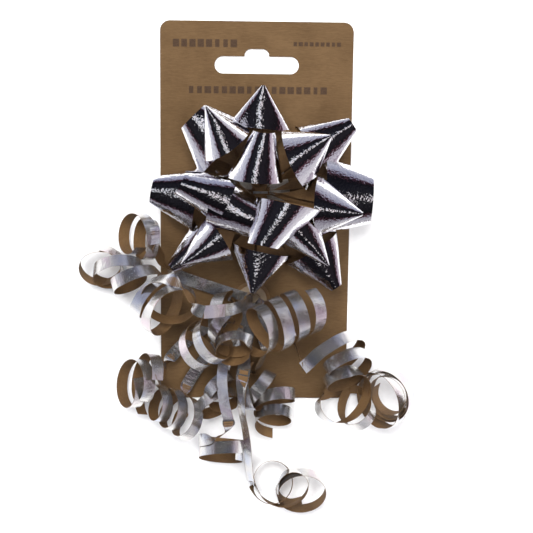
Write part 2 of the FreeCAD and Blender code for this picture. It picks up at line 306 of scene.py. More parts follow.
def mesh_piece(name: str, points: np.ndarray, faces: list, materials: list,
               slots: np.ndarray | None = None, uvs: np.ndarray | None = None,
               crease: float = 50.0) -> bpy.types.Object:
    """Makes a smooth-shaded mesh object at the origin.

    Args:
        name: The piece's name.
        points: Vertex places, one row each.
        faces: Vertex numbers of each face.
        materials: Finishes, one for each slot.
        slots: The slot of each face.
        uvs: A UV for each vertex.
        crease: Edges sharper than this many degrees stay sharp.

    Returns:
        The new object, linked to the scene.
    """
    mesh = bpy.data.meshes.new(name)
    mesh.from_pydata([tuple(p) for p in points], [], faces)
    for finish in materials:
        mesh.materials.append(finish.material())
    if slots is not None:
        mesh.polygons.foreach_set("material_index", np.asarray(slots, np.int32))
    if uvs is not None:
        layer = mesh.uv_layers.new(name="UVMap")
        corners = np.zeros(len(mesh.loops), np.int32)
        mesh.loops.foreach_get("vertex_index", corners)
        layer.data.foreach_set("uv", uvs[corners].astype(np.float32).ravel())
    mesh.update()
    mesh.shade_smooth()
    mesh.set_sharp_from_angle(angle=math.radians(crease))
    piece = bpy.data.objects.new(name, mesh)
    bpy.context.scene.collection.objects.link(piece)
    return piece


def geometry_tree(name: str, inputs: dict[str, str]) -> bpy.types.NodeTree:
    """Starts a geometry tree with named inputs and one geometry output.

    Args:
        name: The tree's name.
        inputs: The kind of socket for each input's name.

    Returns:
        The tree, still without nodes.
    """
    tree = bpy.data.node_groups.new(name, "GeometryNodeTree")
    for label, kind in inputs.items():
        tree.interface.new_socket(label, in_out="INPUT", socket_type="NodeSocket" + kind)
    tree.interface.new_socket("Geometry", in_out="OUTPUT", socket_type="NodeSocketGeometry")
    return tree


def grown(name: str, mesh: bpy.types.Mesh, tree: bpy.types.NodeTree,
          inputs: dict) -> bpy.types.Object:
    """Runs a geometry tree on a mesh and keeps the result as a plain mesh.

    Args:
        name: The piece's name.
        mesh: What the tree starts from.
        tree: The geometry tree.
        inputs: The value of each input, by its name.

    Returns:
        The piece, without a modifier.
    """
    source = bpy.data.objects.new(name + "_source", mesh)
    bpy.context.scene.collection.objects.link(source)
    modifier = source.modifiers.new("grow", "NODES")
    modifier.node_group = tree
    for item in tree.interface.items_tree:
        if item.in_out == "INPUT" and item.name in inputs:
            modifier[item.identifier] = inputs[item.name]
    bpy.context.view_layer.update()
    ready = source.evaluated_get(bpy.context.evaluated_depsgraph_get())
    result = bpy.data.meshes.new_from_object(ready)
    bpy.data.objects.remove(source)
    result.name = name
    piece = bpy.data.objects.new(name, result)
    bpy.context.scene.collection.objects.link(piece)
    return piece


def run_along(line: np.ndarray) -> np.ndarray:
    """How far along a line each of its points lies."""
    return np.concatenate([[0], np.cumsum(np.linalg.norm(np.diff(line, axis=0), axis=1))])


def normals_of(grid: np.ndarray) -> np.ndarray:
    """Unit normals of a grid of points, one for each point."""
    down = np.gradient(grid, axis=0)
    over = np.gradient(grid, axis=1)
    normal = np.cross(down, over)
    return normal / np.maximum(np.linalg.norm(normal, axis=2, keepdims=True), 1e-12)


def shell_piece(name: str, outer: np.ndarray, thickness: float, uv: np.ndarray,
                finishes: list) -> bpy.types.Object:
    """Makes a thin closed shell from a grid of points on its outer face.

    Args:
        name: The piece's name.
        outer: The outer face as rows and columns of points.
        thickness: How far the inner face lies inside.
        uv: A UV for each grid point.
        finishes: The finish of the outer face, and of the inner face and the rims.

    Returns:
        The piece.
    """
    rows, columns = outer.shape[:2]
    inner = outer - normals_of(outer) * thickness
    points = np.concatenate([outer.reshape(-1, 3), inner.reshape(-1, 3)])
    number = np.arange(rows * columns).reshape(rows, columns)
    a, b = number[:-1, :-1].ravel(), number[1:, :-1].ravel()
    c, d = number[1:, 1:].ravel(), number[:-1, 1:].ravel()
    front = np.stack([a, b, c, d], 1)
    back = np.stack([d, c, b, a], 1) + rows * columns
    rim = np.concatenate([number[:, 0], number[-1, 1:], number[-2::-1, -1],
                          number[0, -2:0:-1]])
    after = np.roll(rim, -1)
    edge = np.stack([rim, rim + rows * columns, after + rows * columns, after], 1)
    faces = np.concatenate([front, back, edge]).tolist()
    slots = np.concatenate([np.full(len(front), Side.FOIL.value),
                            np.full(len(back) + len(edge), Side.KRAFT.value)])
    flat = np.concatenate([uv.reshape(-1, 2)] * 2)
    return mesh_piece(name, points, faces, finishes, slots, flat)


def eased(share: np.ndarray) -> np.ndarray:
    """A smooth step from 0 to 1."""
    held = np.clip(share, 0.0, 1.0)
    return held * held * (3 - 2 * held)


@dataclass(frozen=True)
class Loop:
    """One loop of the bow: foil ribbon rolled to a cone, with both ends pinched in the hub.

    Bearing and reach place the tip round the hub, in degrees and metres. Heading is where the
    tip points, rise how far the cone's axis tilts up, half_angle how fast it opens, blunt how
    far the cone's own apex lies beyond the ribbon, flatness its height over its width, and skew
    how much further in the ribbon's edges lie on one side than on the other. Foot height and
    foot reach place the pinched ends on the hub.
    """

    node: str
    bearing: float
    reach: float
    height: float
    heading: float
    rise: float
    half_angle: float
    blunt: float
    flatness: float = 1.0
    skew: float = 0.0
    foot_height: float = 0.009
    foot_reach: float = 0.0035

    def frame(self, hub: Vector) -> tuple[Vector, Vector, Vector, Vector]:
        """The tip, and the directions inward, across and upward of the cone."""
        where, turn, tilt = (math.radians(x) for x in (self.bearing, self.heading, self.rise))
        tip = Vector((hub.x + self.reach * math.cos(where),
                      hub.y + self.reach * math.sin(where), self.height))
        inward = Vector((-math.cos(turn) * math.cos(tilt), -math.sin(turn) * math.cos(tilt),
                         -math.sin(tilt)))
        across = Vector((-math.sin(turn), math.cos(turn), 0.0))
        upward = across.cross(inward)
        return tip, inward, across, upward if upward.z > 0 else -upward


@dataclass
class StarBow:
    """The stick-on bow: three tiers of loops round a pleated hub.

    A loop follows its cone as far as grip_start degrees from the cone's top, and is pinched to
    its foot at grip_end. Its edges lean back from the cone's rim by lean_share of the turn, up
    to widest_lean degrees. Foot share is the pinched height over the foot's own height, and
    dent is how deep the ribbon waves.
    """

    ribbon_width: float = 0.019
    ribbon_thickness: float = 0.00014
    grip_start: float = 112.0
    grip_end: float = 178.0
    lean_share: float = 0.62
    widest_lean: float = 30.0
    tip_opening: float = 0.0007
    foot_share: float = 0.45
    dent: float = 0.00022
    pinch_gap: float = 0.4 * MM
    map_step: float = 0.02
    rows: int = 150
    columns: int = 22
    loops: tuple[Loop, ...] = (
        Loop("outer_loop_1", 37, 0.0450, 0.0130, 35, 14, 24, 0.0074, 0.60, 0.0, 0.0044),
        Loop("outer_loop_2", 89, 0.0415, 0.0150, 85, 19, 35, 0.0010, 0.50, 0.0, 0.0044),
        Loop("outer_loop_3", 132, 0.0402, 0.0130, 135, 12, 24, 0.0150, 0.55, 0.0, 0.0044),
        Loop("outer_loop_4", 179, 0.0430, 0.0135, 169, 12, 24, 0.0115, 0.55, 0.0, 0.0044),
        Loop("outer_loop_5", 221, 0.0465, 0.0120, 218, 12, 20, 0.0060, 0.60, 0.0, 0.0044),
        Loop("outer_loop_6", 266, 0.0398, 0.0150, 258, 17, 33, 0.0015, 0.50, 0.0, 0.0044),
        Loop("outer_loop_7", 309, 0.0488, 0.0120, 303, 14, 27, 0.0053, 0.55, 0.0, 0.0044),
        Loop("outer_loop_8", 357, 0.0447, 0.0130, 357, 10, 18, 0.0300, 0.60, 0.0, 0.0044),
        Loop("middle_loop_1", 42, 0.0345, 0.0330, 40, 31, 33, 0.0010, 0.92, -0.28),
        Loop("middle_loop_2", 122, 0.0395, 0.0310, 118, 26, 27, 0.0008, 0.95, 0.12),
        Loop("middle_loop_3", 170, 0.0313, 0.0320, 160, 15, 15, 0.0180, 0.95, -0.10),
        Loop("middle_loop_4", 221, 0.0400, 0.0285, 212, 26, 27, 0.0008, 0.95, 0.0),
        Loop("middle_loop_5", 315, 0.0368, 0.0300, 309, 24, 24, 0.0008, 0.95, 0.10),
        Loop("middle_loop_6", 351, 0.0391, 0.0300, 353, 29, 31, 0.0010, 0.92, 0.15),
        Loop("crown_loop_1", 271, 0.0186, 0.0340, 237, 15, 17, 0.0194, 0.9, 0.40, 0.0109, 0.002),
        Loop("crown_loop_2", 88, 0.0251, 0.0340, 80, 16, 19, 0.0118, 0.9, 0.10, 0.0109, 0.002),
        Loop("crown_loop_3", 262, 0.0087, 0.0285, 336, 8, 10, 0.0410, 0.9, 0.25, 0.0109, 0.002),
    )

    def build(self) -> None:
        """Makes the hub and every loop."""
        low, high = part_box("bow_hub")
        hub = (low + high) / 2
        for number, loop in enumerate(self.loops):
            piece = self.rolled(loop, hub, number)
            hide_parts(loop.node)
            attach(piece, "bow")
            LOG.info("loop %s: %d faces", piece.name, len(piece.data.polygons))
        piece = self.pleated_hub(low, high)
        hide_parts("bow_hub")
        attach(piece, "bow")
        LOG.info("hub: %d faces", len(piece.data.polygons))

    def rolled(self, loop: Loop, hub: Vector, number: int) -> bpy.types.Object:
        """Rolls one loop from its strip of ribbon.

        Args:
            loop: The loop's shape.
            hub: The middle of the hub.
            number: The loop's place in the bow, which varies its dents.

        Returns:
            The loop as a thin shell.
        """
        tip, inward, across, upward = (np.array(v) for v in loop.frame(hub))
        half = math.radians(loop.half_angle)
        blunt = max(loop.blunt, self.tip_opening)
        turn = np.linspace(-1, 1, self.rows)[:, None] * math.radians(self.grip_end)
        share = np.linspace(0, 1, self.columns)[None, :]
        lean = np.minimum(np.abs(turn * math.sin(half)) * self.lean_share,
                          math.radians(self.widest_lean))
        reach = (blunt + self.ribbon_width * share) / np.cos(lean)
        radius = reach * math.sin(half)
        along = (reach - blunt) * math.cos(half) + radius * np.sin(turn) * loop.skew
        cone = (tip + along[..., None] * inward
                + (radius * np.sin(turn))[..., None] * across
                + (radius * np.cos(turn) * loop.flatness)[..., None] * upward)
        side = np.sign(turn) + 0 * share
        where = math.radians(loop.bearing)
        foot = np.array([hub.x + loop.foot_reach * math.cos(where),
                         hub.y + loop.foot_reach * math.sin(where), loop.foot_height])
        pinch = (foot + (side * self.pinch_gap)[..., None] * across
                 + ((share - 0.5) * loop.foot_height * self.foot_share
                    + 0 * turn)[..., None] * np.array(UP))
        gather = eased((np.degrees(np.abs(turn)) - self.grip_start)
                       / (self.grip_end - self.grip_start)) + 0 * share
        grid = cone * (1 - gather[..., None]) + pinch * gather[..., None]
        # Two slow waves, which fall differently on each loop.
        waves = (np.sin(turn * 2.3 + number * 1.7) * np.sin(share * 4.1 + number * 2.9)
                 + 0.6 * np.sin(turn * 5.1 - number + share * 3.0))
        grid = grid + normals_of(grid) * (waves * self.dent * share * (1 - gather))[..., None]
        if np.sum(normals_of(grid)[self.rows // 2, self.columns // 2] * upward) < 0:
            grid = grid[::-1]
        uv = np.stack([turn * self.map_step + 0 * share, share * self.ribbon_width + 0 * turn], 2)
        return shell_piece(loop.node + "_ribbon", grid, self.ribbon_thickness, uv,
                           [BOW_FOIL, RIBBON_BACK])

    def pleated_hub(self, low: Vector, high: Vector, pleats: int = 11,
                    pleat_depth: float = 0.0007, clearance: float = 0.0002,
                    steps: int = 12, wander: float = 0.8) -> bpy.types.Object:
        """The pinched middle of the ribbon, gathered into upright pleats under the staple.

        Args:
            low: The hub's lowest corner.
            high: Its highest corner.
            pleats: How many folds go round it.
            pleat_depth: How deep they are.
            clearance: How far the hub stays inside its box.
            steps: Points round each fold.
            wander: How far the folds stray from even spacing, in radians of a fold.

        Returns:
            The hub as one closed piece.
        """
        middle = (low + high) / 2
        radius = (high.x - low.x) / 2 - clearance
        heights = [0.0, 0.15, 0.5, 0.85, 0.97, 1.0]
        widths = [1.0, 0.93, 0.86, 0.93, 0.84, 0.60]
        around = np.linspace(0, 2 * math.pi, pleats * steps, endpoint=False)
        fold = radius - pleat_depth * (1 + np.cos(pleats * around + wander * np.sin(3 * around)))
        points, faces = [], []
        for level, width in zip(heights, widths):
            z = low.z + (high.z - low.z) * level
            points += [(middle.x + r * width * math.cos(a), middle.y + r * width * math.sin(a), z)
                       for r, a in zip(fold, around)]
        count = len(around)
        for ring in range(len(heights) - 1):
            for i in range(count):
                j = (i + 1) % count
                first, second = ring * count, (ring + 1) * count
                faces.append((first + i, first + j, second + j, second + i))
        faces.append(tuple(range(count))[::-1])
        faces.append(tuple(range((len(heights) - 1) * count, len(heights) * count)))
        return mesh_piece("bow_hub_pleats", np.array(points), faces, [RIBBON_BACK])


@dataclass(frozen=True)
class Ring:
    """One ring of a curl, in millimetres and degrees.

    Lean is how far the ring's axis tips from upright, and bearing is where it tips to: that
    side shows the backing inside the ring, and the far side shows the foil. Turns is how much
    the ribbon winds before it reaches the next ring, signed by the way it goes.
    """

    x: float
    y: float
    z: float
    radius: float
    lean: float
    bearing: float
    turns: float = 0.0

    def values(self) -> np.ndarray:
        """What is blended between one ring and the next."""
        return np.array([self.x, self.y, self.z, self.radius, self.lean, self.bearing])


@dataclass(frozen=True)
class Curl:
    """A springy run of ribbon that winds through rings of changing place, size and tilt.

    Angle is where it starts, in degrees from the highest point of its first ring.
    """

    rings: tuple[Ring, ...]
    angle: float = 0.0
    uneven: float = 0.035

    def points(self, per_turn: int = 14) -> list[Point]:
        """The control points of the turns."""
        made = []
        wound = math.radians(self.angle)
        for ring, after in zip(self.rings, self.rings[1:]):
            count = max(2, round(abs(ring.turns) * per_turn))
            for i in range(count):
                share = i / count
                made.append(self.place(ring.values() * (1 - share) + after.values() * share,
                                       wound + 2 * math.pi * ring.turns * share))
            wound += 2 * math.pi * ring.turns
        made.append(self.place(self.rings[-1].values(), wound))
        return made

    def place(self, values: np.ndarray, wound: float) -> Point:
        """Where the ribbon is on a ring.

        Args:
            values: The ring's place, radius, lean and bearing.
            wound: How far round it the ribbon is, in radians from its highest point.

        Returns:
            The point, in metres.
        """
        lean, bearing = math.radians(values[4]), math.radians(values[5])
        high = np.array([-math.cos(bearing) * math.cos(lean),
                         -math.sin(bearing) * math.cos(lean), math.sin(lean)])
        level = np.array([math.sin(bearing), -math.cos(bearing), 0.0])
        radius = values[3] * (1 + self.uneven * math.sin(1.7 * wound + values[0]))
        point = values[:3] + radius * (math.cos(wound) * high + math.sin(wound) * level)
        return tuple(float(v) * MM for v in point)


@dataclass(frozen=True)
class Strand:
    """One piece of curling ribbon: the points of its leads, in millimetres, and its curls.

    Facing is where the foil faces at the start, and length is in metres.
    """

    name: str
    body: str
    stretches: tuple
    length: float
    nodes: tuple[str, ...]
    joint: str = ""
    hinge_end: HingeEnd = HingeEnd.NEITHER
    facing: Point = (0.0, 0.0, 1.0)

    def control_points(self) -> list[Point]:
        """Every control point of the strand's spline."""
        made = []
        for stretch in self.stretches:
            made += stretch.points() if isinstance(stretch, Curl) else [
                tuple(v * MM for v in point) for point in stretch]
        return made


@dataclass
class RibbonMaker:
    """Lays flat ribbon along a strand's centre line with one shared geometry tree.

    A bend sharper than curled, in radians a metre, turns the foil to its outside, and steer is
    how strongly. Gentler bends leave the foil as it was. A face counts as foil where its normal
    agrees with the outward direction by more than foil_above. Edges sharper than crease degrees
    stay sharp. Within hinge_blend of a hinge the ribbon turns flat to the hinge's axis.
    """

    width: float = 0.005
    thickness: float = 0.00016
    hinge_blend: float = 0.008
    curled: float = 66.0
    steer: float = 4.0
    foil_above: float = 0.3
    crease: float = 40.0
    tree: bpy.types.NodeTree | None = None

    def centre_line(self, control: list[Point], resolution: int = 10) -> np.ndarray:
        """The smooth line of one strand.

        Args:
            control: The spline's control points.
            resolution: Steps between them.

        Returns:
            Points along the line.
        """
        curve = bpy.data.curves.new("route", "CURVE")
        curve.dimensions = "3D"
        spline = curve.splines.new("NURBS")
        spline.points.add(len(control) - 1)
        for point, place in zip(spline.points, control):
            point.co = (*place, 1.0)
        spline.order_u = 3
        spline.use_endpoint_u = True
        spline.resolution_u = resolution
        holder = bpy.data.objects.new("route", curve)
        mesh = bpy.data.meshes.new_from_object(holder)
        line = np.array([v.co for v in mesh.vertices], float)
        bpy.data.objects.remove(holder)
        bpy.data.curves.remove(curve)
        bpy.data.meshes.remove(mesh)
        keep = np.concatenate([[True], np.linalg.norm(np.diff(line, axis=0), axis=1) > 1e-6])
        return line[keep]

    def outward(self, line: np.ndarray, strand: Strand, axis: Vector | None) -> np.ndarray:
        """Which way the foil faces all along a strand: away from the middle of each bend.

        Args:
            line: The centre line.
            strand: The strand.
            axis: The hinge's axis, where one end lies on a hinge.

        Returns:
            A unit direction for each point.
        """
        tangent = np.gradient(line, axis=0)
        step = np.linalg.norm(tangent, axis=1)
        tangent /= step[:, None]
        bend = np.gradient(tangent, axis=0) / step[:, None]
        bend *= (np.linalg.norm(bend, axis=1) > self.curled)[:, None]
        facing = np.zeros_like(line)
        now = np.array(strand.facing, float)
        for i in range(len(line)):
            now = now - bend[i] * step[i] * self.steer
            now = now - tangent[i] * np.dot(now, tangent[i])
            now /= max(np.linalg.norm(now), 1e-9)
            facing[i] = now
        if axis is not None:
            run = run_along(line)
            if strand.hinge_end is HingeEnd.END:
                run = run[-1] - run
            flat = np.cross(tangent, np.array(axis))
            flat /= np.maximum(np.linalg.norm(flat, axis=1, keepdims=True), 1e-9)
            flat *= np.where(flat[:, 2:] < 0, -1.0, 1.0)
            near = (1 - eased(run / self.hinge_blend))[:, None]
            facing = facing * (1 - near) + flat * near
            facing /= np.linalg.norm(facing, axis=1, keepdims=True)
        return facing

    def ribbon_tree(self) -> bpy.types.NodeTree:
        """The geometry tree that turns a line with its outward directions into ribbon."""
        if self.tree:
            return self.tree
        tree = geometry_tree("curling_ribbon", {
            "Geometry": "Geometry", "Width": "Float", "Thickness": "Float",
            "Foil": "Material", "Backing": "Material"})
        given = add_node(tree, "NodeGroupInput").outputs
        curve = add_node(tree, "GeometryNodeMeshToCurve", links={0: given["Geometry"]})
        facing = add_node(tree, "GeometryNodeInputNamedAttribute",
                          settings={"data_type": "FLOAT_VECTOR"}, values={"Name": "outward"})
        turned = add_node(tree, "GeometryNodeSetCurveNormal", settings={"mode": "FREE"},
                          links={"Curve": curve.outputs[0], "Normal": facing.outputs[0]})
        section = add_node(tree, "GeometryNodeCurvePrimitiveQuadrilateral",
                           links={"Width": given["Thickness"], "Height": given["Width"]})
        place = add_node(tree, "GeometryNodeInputPosition")
        split = add_node(tree, "ShaderNodeSeparateXYZ", links={0: place.outputs[0]})
        marked = add_node(tree, "GeometryNodeStoreNamedAttribute", settings={
            "data_type": "FLOAT", "domain": "POINT"}, values={"Name": "across"},
            links={"Geometry": section.outputs[0], "Value": split.outputs["Y"]})
        swept = add_node(tree, "GeometryNodeCurveToMesh", values={"Fill Caps": True},
                         links={"Curve": turned.outputs[0], "Profile Curve": marked.outputs[0]})
        along = add_node(tree, "GeometryNodeInputNamedAttribute",
                         settings={"data_type": "FLOAT"}, values={"Name": "along"})
        across = add_node(tree, "GeometryNodeInputNamedAttribute",
                          settings={"data_type": "FLOAT"}, values={"Name": "across"})
        pair = add_node(tree, "ShaderNodeCombineXYZ",
                        links={0: along.outputs[0], 1: across.outputs[0]})
        mapped = add_node(tree, "GeometryNodeStoreNamedAttribute", settings={
            "data_type": "FLOAT2", "domain": "CORNER"}, values={"Name": "UVMap"},
            links={"Geometry": swept.outputs[0], "Value": pair.outputs[0]})
        normal = add_node(tree, "GeometryNodeInputNormal")
        agree = add_node(tree, "ShaderNodeVectorMath", settings={"operation": "DOT_PRODUCT"},
                         links={0: normal.outputs[0], 1: facing.outputs[0]})
        outside = add_node(tree, "ShaderNodeMath", settings={"operation": "GREATER_THAN"},
                           values={1: self.foil_above}, links={0: agree.outputs["Value"]})
        whole = add_node(tree, "GeometryNodeRealizeInstances", links={0: mapped.outputs[0]})
        backed = add_node(tree, "GeometryNodeSetMaterial", links={
            "Geometry": whole.outputs[0], "Material": given["Backing"]})
        faced = add_node(tree, "GeometryNodeSetMaterial", links={
            "Geometry": backed.outputs[0], "Selection": outside.outputs[0],
            "Material": given["Foil"]})
        add_node(tree, "NodeGroupOutput", links={0: faced.outputs[0]})
        self.tree = tree
        return tree

    def lay(self, name: str, line: np.ndarray, facing: np.ndarray,
            width: float) -> bpy.types.Object:
        """Makes ribbon along a line.

        Args:
            name: The piece's name.
            line: The centre line.
            facing: Where the foil faces at each point.
            width: The ribbon's width.

        Returns:
            The ribbon as a plain mesh.
        """
        mesh = bpy.data.meshes.new(name + "_line")
        count = len(line)
        mesh.from_pydata([tuple(p) for p in line], [(i, i + 1) for i in range(count - 1)], [])
        mesh.attributes.new("outward", "FLOAT_VECTOR", "POINT").data.foreach_set(
            "vector", facing.astype(np.float32).ravel())
        mesh.attributes.new("along", "FLOAT", "POINT").data.foreach_set(
            "value", run_along(line).astype(np.float32))
        piece = grown(name, mesh, self.ribbon_tree(), {
            "Width": width, "Thickness": self.thickness, "Foil": CURL_FOIL.material(),
            "Backing": RIBBON_BACK.material()})
        piece.data.shade_smooth()
        piece.data.set_sharp_from_angle(angle=math.radians(self.crease))
        return piece


@dataclass
class RibbonSpray:
    """The spray of curled strands, gathered in a tie."""

    maker: RibbonMaker = field(default_factory=RibbonMaker)
    strands: tuple[Strand, ...] = (
        Strand("near_left", "spray", (
            ((-2, -36, 6), (-7, -39, 9)),
            Curl((Ring(-13.5, -45, 20, 9.4, 60, 45, 1.0), Ring(-19, -48.5, 19, 9.8, 54, 45, 1.1),
                  Ring(-26, -54, 14, 8.4, 60, 50)), 180),
        ), 0.133, ("near_left_strand",)),
        Strand("front_right", "spray", (
            ((-0.5, -35.7, 6), (-4, -40, 9)),
            Curl((Ring(-2, -44, 20, 10.0, 50, 200, 1.1), Ring(6, -42, 20.5, 10.2, 62, 200, 1.3),
                  Ring(14, -38.5, 18, 10.2, 66, 200, 1.3), Ring(22.5, -36, 15, 9.2, 60, 195)), 180),
        ), 0.242, ("front_right_strand",)),
        Strand("knot", "spray", (
            ((-2, -34.5, 5.9), (-6.5, -33, 6)),
            Curl((Ring(-12, -36.5, 13.5, 7.6, 62, 20, 1.2), Ring(-12, -41, 17, 7.6, 50, -30, 1.1),
                  Ring(-8, -50, 22, 7.0, 28, -85, 0.9), Ring(-8.5, -50.5, 22, 6.8, 26, -90)), 180),
        ), 0.144, ("knot_curl",)),
        Strand("centre", "spray", (
            ((0, -35.8, 2.7), (3.5, -47, 2.7), (5, -56, 3)),
            Curl((Ring(-3, -67, 12.5, 8.8, 70, 20, 1.0), Ring(1, -69.5, 13.5, 8.8, 64, -10, 1.1),
                  Ring(8, -71, 13, 9.0, 60, -85, 1.4), Ring(8, -83.5, 8.2, 7.6, 38, -90, 0.5),
                  Ring(8, -84.5, 8.0, 7.4, 36, -90)), 180),
        ), 0.231, ("centre_strand",)),
        Strand("inner", "spray", (
            ((-1, -37, 2.7), (-6.5, -51, 2.7), (-11.5, -60.5, 2.5)),
            Curl((Ring(-15, -67, 10.5, 7.2, 64, 320, 1.1), Ring(-12, -74.5, 9.5, 6.6, 38, 300, 1.1),
                  Ring(-18.5, -78, 10, 7.4, 60, 290)), 180),
        ), 0.125, ("inner_strand",), facing=(-0.7, 0.0, 0.7)),
        Strand("bottom", "spray", (
            ((-1.5, -36.5, 5.2), (-8, -48, 8.5), (-13, -58, 14.5),
             (-12.5, -72, 19), (-9, -83, 20.2)),
            Curl((Ring(-13, -89.5, 11, 9.0, 74, 275, 1.1), Ring(-13, -96, 10.5, 9.2, 64, 268, 0.8),
                  Ring(-12.8, -98, 10.5, 9.0, 62, 268)), 0),
        ), 0.163, ("bottom_strand",), facing=(-0.7, 0.0, 0.7)),
        Strand("low_left", "spray", (
            ((-1.5, -36.2, 2.7), (-16, -53.5, 2.2), (-27, -69, 2.2),
             (-29, -75, 2.4)),
            Curl((Ring(-24.5, -83.5, 10.5, 8.4, 58, 140, 1.1),
                  Ring(-31, -79.5, 10.5, 8.2, 54, 145, 1.1),
                  Ring(-37, -76.5, 10.2, 7.6, 58, 160, 1.0), Ring(-42.5, -75, 9.2, 7.2, 48, 170)),
                 180),
        ), 0.211, ("low_left_strand",)),
        Strand("upper_left_lead", "spray", (
            ((-2, -34.5, 2.7), (-20, -29, 2.2), (-34, -24, 2.2),
             (-39, -15, 8), (-39, -9.8, 19.6)),
        ), 0.057, ("upper_left_lead",), "upper_left_lift", HingeEnd.END),
        Strand("upper_left", "upper_left_strand_body", (
            Curl((Ring(-41.2, -9.8, 11.4, 8.5, 75, 180, 0.9), Ring(-44, -8, 11, 8.8, 58, 180, 1.0),
                  Ring(-49, -6, 10, 8.8, 48, 175))),
        ), 0.101, ("upper_left_strand",), "upper_left_lift", HingeEnd.START),
        Strand("left_lead", "spray", (
            ((-1, -34.5, 6.2), (-5, -34.2, 19), (-12, -34, 29),
             (-19.5, -33.5, 34)),
        ), 0.034, ("left_lead",), "left_lift", HingeEnd.END),
        Strand("left", "left_strand_body", (
            ((-19.5, -33.5, 34), (-23.2, -32.5, 34)),
            Curl((Ring(-32.5, -31.5, 25, 11.8, 42, 190, 1.0), Ring(-34, -36, 18, 12.0, 54, 340, 1.1),
                  Ring(-40, -31.5, 14, 9.8, 60, 330, 1.0), Ring(-48, -25, 11.5, 9.0, 62, 300, 1.0),
                  Ring(-54.5, -22, 10, 8.6, 48, 285, 0.8), Ring(-61.5, -20.4, 7, 8.5, 24, 270, 1.1),
                  Ring(-61.5, -20.2, 7, 8.2, 22, 270))),
        ), 0.379, ("left_strand", "left_strand_helix"), "left_lift", HingeEnd.START),
        Strand("lower_left_lead", "spray", (
            ((-2.5, -35.5, 2.7), (-21, -46, 2.2), (-34, -58, 3),
             (-37, -63, 10), (-38.2, -63.9, 19.6)),
        ), 0.057, ("lower_left_lead",), "lower_left_lift", HingeEnd.END),
        Strand("lower_left", "lower_left_strand_body", (
            Curl((Ring(-40.5, -63.5, 10.9, 9.0, 75, 170, 1.0), Ring(-46, -66, 10.9, 9.3, 60, 172, 1.1),
                  Ring(-51.5, -69, 10.3, 9.3, 50, 175))),
        ), 0.119, ("lower_left_strand",), "lower_left_lift", HingeEnd.START),
        Strand("right_lead", "spray", (
            ((0.5, -35.5, 2.7), (13.5, -45, 2.7), (18, -55, 11),
             (19, -58, 22.4)),
        ), 0.040, ("right_lead",), "right_lift", HingeEnd.END),
        Strand("right", "right_strand_body", (
            ((19, -58, 22.4), (21, -55.5, 24.5), (24.5, -51.5, 25.5)),
            Curl((Ring(33, -52.5, 15, 11.0, 60, 312, -1.0), Ring(38, -57.5, 13, 9.4, 60, 300, -1.0),
                  Ring(37.5, -67, 11, 9.6, 46, 285, -0.9), Ring(35, -78, 9.8, 9.8, -54, 275, -1.1),
                  Ring(46, -75, 9.8, 10.5, -42, 330, -0.8), Ring(53, -72.5, 10.8, 12.6, -38, 370, -1.1),
                  Ring(54, -71.5, 12.6, 10.8, -37, 370, -1.1),
                  Ring(54.5, -71, 14.5, 9.0, -36, 370, -1.1), Ring(55, -70.5, 16.4, 7.2, -36, 370))),
        ), 0.511, ("right_strand", "right_strand_low_coil", "right_strand_end_coil"),
            "right_lift", HingeEnd.START),
        Strand("pigtail_lead", "spray", (
            ((-0.5, -35.5, 5.2), (-2.8, -48, 9), (-4.2, -56, 14),
             (-4, -59, 20.8)),
        ), 0.030, ("pigtail_lead",), "pigtail_lift", HingeEnd.END),
        Strand("pigtail", "pigtail_strand_body", (
            ((-4, -59, 20.8), (-6, -72, 20.3), (-2.8, -88, 13),
             (-1.8, -102, 7)),
            Curl((Ring(7.6, -110.5, 6.4, 8.8, 20, 90, 1.0), Ring(8.6, -110.8, 6.6, 8.8, 20, 90, 0.5),
                  Ring(20.2, -114, 7.0, 10.6, 20, 270, 1.0), Ring(20.0, -113.6, 7.0, 9.6, 20, 270, 0.3),
                  Ring(17.5, -112.5, 7.0, 7.5, 20, 275)), -90),
        ), 0.239, ("pigtail_strand", "pigtail_coils"), "pigtail_lift", HingeEnd.START,
            (-0.8, 0.0, 0.6)),
    )

    def build(self, joints: list[dict]) -> None:
        """Makes every strand, and the knot of the tie."""
        axes = {joint["name"]: Vector(joint["axis"]) for joint in joints}
        for strand in self.strands:
            line = self.maker.centre_line(strand.control_points())
            axis = axes.get(strand.joint)
            facing = self.maker.outward(line, strand, axis)
            piece = self.maker.lay(strand.name + "_ribbon", line, facing, self.maker.width)
            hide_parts(*strand.nodes)
            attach(piece, strand.body)
            LOG.info("strand %s: %.3f m, low %.4f", strand.name, run_along(line)[-1],
                     line[:, 2].min())
        self.knot()

    def knot(self, turns: float = 4.0, wrap_width: float = 0.0022, clearance: float = 0.0002,
             end_share: float = 0.6) -> None:
        """Wraps the gathered strands in narrow ribbon.

        Args:
            turns: How often the wrap goes round.
            wrap_width: Its ribbon's width.
            clearance: How far it stays inside the tie's box.
            end_share: How far its line keeps from the tie's ends, in ribbon widths.
        """
        low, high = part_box("spray_tie")
        middle = (low + high) / 2
        radius = (high.x - low.x) / 2 - clearance
        ends = [Ring(middle.x / MM, middle.y / MM, z / MM, radius / MM, 0, 0, turns)
                for z in (low.z + wrap_width * end_share, high.z - wrap_width * end_share)]
        wrap = Curl(tuple(ends), uneven=0.0)
        line = self.maker.centre_line(wrap.points())
        facing = line - np.array([middle.x, middle.y, 0])
        facing[:, 2] = 0
        facing /= np.linalg.norm(facing, axis=1, keepdims=True)
        piece = self.maker.lay("spray_tie_wrap", line, facing, wrap_width)
        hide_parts("spray_tie")
        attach(piece, "spray")
        LOG.info("tie: %d faces", len(piece.data.polygons))


@dataclass
class PrintLine:
    """A row of plain bars that stands where a line of print would be. The seed sets how their
    widths vary."""

    name: str
    left: float
    right: float
    middle: float
    height: float
    bars: int
    seed: int


